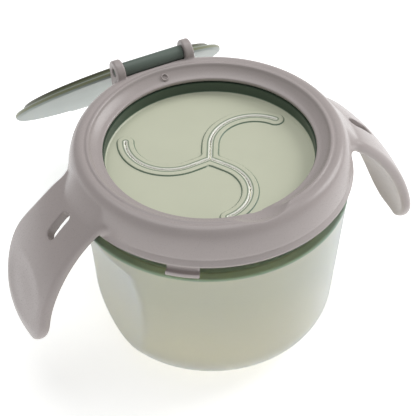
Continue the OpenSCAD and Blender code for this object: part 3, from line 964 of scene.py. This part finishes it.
def slit_loop(off):
    """A closed loop at distance off around all three slits, with round ends."""
    loop = []
    end = arm_line(0)[-1]
    for direction in ARM_DIRS.values():
        back = arm_line(-off)[::-1]
        cap = arc(end, off, SLIT_TURN + 90, SLIT_TURN - 90, 10)[1:-1]
        loop += turned(arm_line(off) + cap + back[:-1], direction)
    return loop


def hinge_line(direction):
    """Direction and distance of the line that a flap bends about."""
    end = arm_line(0)[-1]
    angle = degrees(atan2(-end[1], end[0])) + direction - 60
    return angle, np.hypot(*end) * cos(radians(60))


def inside(point, polygon):
    """Whether a point is in a polygon, by the edges that a ray from it crosses."""
    x, y = point
    hit = False
    for (x0, y0), (x1, y1) in zip(polygon, polygon[1:] + polygon[:1]):
        if (y0 > y) != (y1 > y) and x < (x1 - x0) * (y - y0) / (y1 - y0) + x0:
            hit = not hit
    return hit


def flap_polygon(direction):
    """The sector between two slits, out to a tip beyond the wall."""
    angle, _ = hinge_line(direction)
    tip = (2 * MOUTH_R * cos(radians(angle)), 2 * MOUTH_R * sin(radians(angle)))
    return turned(arm_line(0), direction) + [tip] + turned(arm_line(0), direction - 120)[::-1]


def slit_distance(points):
    """Distance of each point from the nearest slit's centre line."""
    spine = np.array([p for d in ARM_DIRS.values() for p in turned(refine(arm_line(0), step=0.25), d)])
    points = np.array(points)
    return np.sqrt(((points[:, None, :] - spine[None, :, :]) ** 2).sum(2)).min(1)


def border_height(d):
    """The raised border beside a slit, with rounded shoulders."""
    rise = np.clip((d - SLIT_W / 2) / 0.35, 0, 1)
    fall = np.clip((SLIT_W / 2 + BORDER_W + 0.25 - d) / 0.55, 0, 1)
    return BORDER_H * (0.45 + 0.55 * smooth_step(rise)) * smooth_step(fall)


def border_tint_light_shade(d):
    """Near a slit: a painted highlight on the lips, and a fine line of painted shade at each side of the
    border.
    """
    highlight_w, shade_line_in_at, shade_line_out_at = 0.3, 0.85, BORDER_W + 0.05
    from_edge = d - SLIT_W / 2
    lip_highlight = np.clip(1 - (from_edge - highlight_w) / 0.2, 0, 1)
    shade_line_in = np.clip(1.4 - np.abs(from_edge - shade_line_in_at) / 0.25, 0, 1)
    shade_line_out = np.clip(1.5 - np.abs(from_edge - shade_line_out_at) / 0.2, 0, 1)
    border_shade = (BORDER_SHADE_TINT - FACE_TINT) * np.maximum(0.8 * shade_line_in, shade_line_out)
    return FACE_TINT * (1 - lip_highlight) + border_shade * (1 - lip_highlight)


def bend_row(direction):
    """Points along the line that a flap bends about, from slit to slit."""
    reach, count = 32.0, 32
    angle, distance = hinge_line(direction)
    c, s = cos(radians(angle)), sin(radians(angle))
    return [(distance * c - w * s, distance * s + w * c) for w in np.linspace(-reach, reach, count + 1)]


def face_grid():
    """Points of an even triangular grid over the plain parts of the face."""
    step, row_share, columns, rows = 2.0, 0.866, 24, 27
    grid = [(step * (i + 0.5 * (j % 2)), step * row_share * j)
            for i in range(-columns, columns + 1) for j in range(-rows, rows + 1)]
    grid = [p for p in grid if np.hypot(*p) < WELL_R - 2.2]
    clear_of_borders = slit_distance(grid) > 5.0
    return [p for p, keep in zip(grid, clear_of_borders) if keep]


def membrane_sheet():
    """Points and triangles of the membrane's face, cut to the slits and the hinge lines."""
    points, edges = [], []
    for loop in [slit_loop(SLIT_W / 2 + d) for d in BORDER_ROWS] + [circle((0, 0), WEB_R, 192)]:
        first = len(points)
        points += loop
        edges += [(first + i, first + (i + 1) % len(loop)) for i in range(len(loop))]
    for direction in ARM_DIRS.values():
        first = len(points)
        row = bend_row(direction)
        points += row
        edges += [(first + i, first + i + 1) for i in range(len(row) - 1)]
    points += face_grid()
    verts, _, faces, *_ = delaunay_2d_cdt([Vector(p) for p in points], edges, [], 0, 1e-4)
    return [tuple(v) for v in verts], [tuple(f) for f in faces]


def flap_at(point, polygons, lines):
    """The node that a point of the face belongs to: the flap whose sector holds it, or the rim."""
    name = "flap_rim"
    for flap, polygon in polygons.items():
        angle, distance = lines[flap]
        along = point[0] * cos(radians(angle)) + point[1] * sin(radians(angle))
        if along < distance and inside(point, polygon):
            name = flap
    return name


def sort_faces(verts, faces, lines):
    """The sheet's triangles by node, without those in a slit or beyond the wall."""
    polygons = {name: flap_polygon(direction) for name, direction in ARM_DIRS.items()}
    centres = [tuple(np.mean([verts[i] for i in f], axis=0)) for f in faces]
    owned = {name: [] for name in ("flap_rim", *ARM_DIRS)}
    for face, centre, d in zip(faces, centres, slit_distance(centres)):
        if d >= SLIT_W / 2 - 1e-3 and np.hypot(*centre) <= WEB_R:
            owned[flap_at(centre, polygons, lines)].append(face)
    return owned


def sheet_piece(name, verts, faces):
    """A closed sheet from flat triangles: raised face, flat underside and edge walls."""
    used = sorted({i for f in faces for i in f})
    number = {old: new for new, old in enumerate(used)}
    flat = [verts[i] for i in used]
    top = [tuple(number[i] for i in f) for f in faces]
    n = len(flat)
    d = slit_distance(flat)
    points = [(x, y, WEB_Z + h) for (x, y), h in zip(flat, border_height(d))]
    points += [(x, y, WEB_Z - WEB_T) for x, y in flat]
    edges = {(a, b): None for f in top for a, b in zip(f, f[1:] + f[:1])}
    walls = [(b, a, a + n, b + n) for a, b in edges if (b, a) not in edges]
    under = [tuple(i + n for i in reversed(f)) for f in top]
    piece = mesh_object(name, points, top + under + walls)
    # Painted highlight: underside points beside a slit are painted bright, so the slit walls look lit
    set_attribute(piece, "tint", np.concatenate([border_tint_light_shade(d), np.where(d < SLIT_W, 0.0, FACE_TINT)]))
    shade(piece, 50)
    return piece


def make_flap(name, verts, faces, material):
    """A flap as a flat sheet with its material, in place of its CAD node."""
    piece = sheet_piece(name + "_sheet", verts, faces)
    piece.data.materials.append(material)
    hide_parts(name)
    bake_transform(piece)


def make_wall(material):
    """The membrane's wall, which rises from the face, and the flange held under the collar."""
    low_z, top_z, foot_z = WEB_Z - WEB_T, CEILING_Z - 0.3, RIM_Z + 0.3
    out_r, flange_r = WELL_R + 1.4, NECK_R - 2.4
    section = [(WEB_R, WEB_Z), (WELL_R - 0.25, WEB_Z + 0.25), (WELL_R, WEB_Z + 0.8), (WELL_R, top_z),
               (flange_r, top_z), (flange_r, foot_z), (out_r, foot_z), (out_r, low_z + 1),
               (WELL_R + 0.4, low_z), (WEB_R, low_z)]
    wall = lathe("membrane_wall", section, 192, closed=False)
    heights = [v.co.z / MM for v in wall.data.vertices]
    # Painted shade: the wall above the face takes the shaded green, the face's edge keeps the pale face
    # colour
    set_attribute(wall, "tint", [WALL_SHADE_TINT if z > WEB_Z + 0.3 else FACE_TINT for z in heights])
    shade(wall, 50)
    dress(wall, material, "collar", "membrane_soft_sage")


def make_membrane(material):
    """The three flaps, the fixed part of the face, and the wall around it."""
    verts, faces = membrane_sheet()
    lines = {name: hinge_line(direction) for name, direction in ARM_DIRS.items()}
    owned = sort_faces(verts, faces, lines)
    for name in ARM_DIRS:
        make_flap(name, verts, owned[name], material)
    rim = sheet_piece("rim_face", verts, owned["flap_rim"])
    dress(rim, material, "collar", "membrane_soft_sage", "flap_rim")
    make_wall(material)


# ------------------------------------------------------------------- studio

def set_camera():
    """The camera at the photograph's viewing angle, aimed by offsets from the mouth's centre."""
    a, e, r = (radians(CAMERA[k]) for k in ("azimuth", "elevation", "roll"))
    back = Vector((sin(a) * cos(e), -cos(a) * cos(e), sin(e)))
    right = Vector((cos(a), sin(a), 0))
    up = back.cross(right)
    x_axis, y_axis = right * cos(r) + up * sin(r), up * cos(r) - right * sin(r)
    place = (x_axis * CAMERA["aside"] + y_axis * CAMERA["above"] + back * CAMERA["distance"]
             + Vector((0, 0, LIP_Z))) * MM
    turn = Matrix((x_axis, y_axis, back)).transposed().to_4x4()
    data = bpy.data.cameras.new("camera")
    data.sensor_width = SENSOR_W
    data.lens = CAMERA["focal_px"] * SENSOR_W / CAMERA["frame_px"]
    data.clip_end = 10
    camera = bpy.data.objects.new("camera", data)
    camera.matrix_world = Matrix.Translation(place) @ turn
    bpy.context.collection.objects.link(camera)
    bpy.context.scene.camera = camera


def area_light(name, place, size, power):
    """A round lamp, aimed at the middle of the cup. Places and sizes are in metres."""
    target = Vector((0, 0, 0.05))
    data = bpy.data.lights.new(name, "AREA")
    data.shape = "DISK"
    data.size = size
    data.energy = power
    light = bpy.data.objects.new(name, data)
    light.location = place
    light.rotation_euler = (target - Vector(place)).to_track_quat("-Z", "Y").to_euler()
    bpy.context.collection.objects.link(light)


def white_floor():
    """Matt white that glows a little, so that the ground stays as white as the photograph's."""
    material, nodes, links, shader = new_material("floor_white")
    tone = noise(nodes, links, scale=3, detail=2)
    colour = ramp(nodes, links, tone, [(0.3, grey(0.93)), (0.7, grey(0.95))])
    links.new(colour, shader.inputs["Base Color"])
    shader.inputs["Roughness"].default_value = 0.9
    shader.inputs["Emission Color"].default_value = (1, 1, 1, 1)
    shader.inputs["Emission Strength"].default_value = FLOOR_GLOW
    return material


def make_studio():
    """White surroundings, a large lamp overhead, a smaller one on the right, and the floor."""
    world = bpy.data.worlds.new("studio")
    bpy.context.scene.world = world
    world.use_nodes = True
    background = world.node_tree.nodes["Background"]
    background.inputs["Color"].default_value = (1, 1, 1, 1)
    background.inputs["Strength"].default_value = WORLD_LIGHT
    area_light("top", place=(0.0, 0.3, 1.15), size=1.0, power=4.4)
    area_light("side", place=(0.95, 0.05, 0.7), size=0.7, power=6.2)
    bpy.ops.mesh.primitive_plane_add(size=6)
    floor = bpy.context.object
    floor.name = "floor"
    floor.data.materials.append(white_floor())
    bpy.context.scene.view_settings.view_transform = "Standard"


set_camera()
make_studio()
taupe = taupe_plastic()
make_cup(clear_sage())
make_collar(taupe)
make_gate_mark(taupe)
make_lid(clear_grey())
make_membrane(soft_sage())
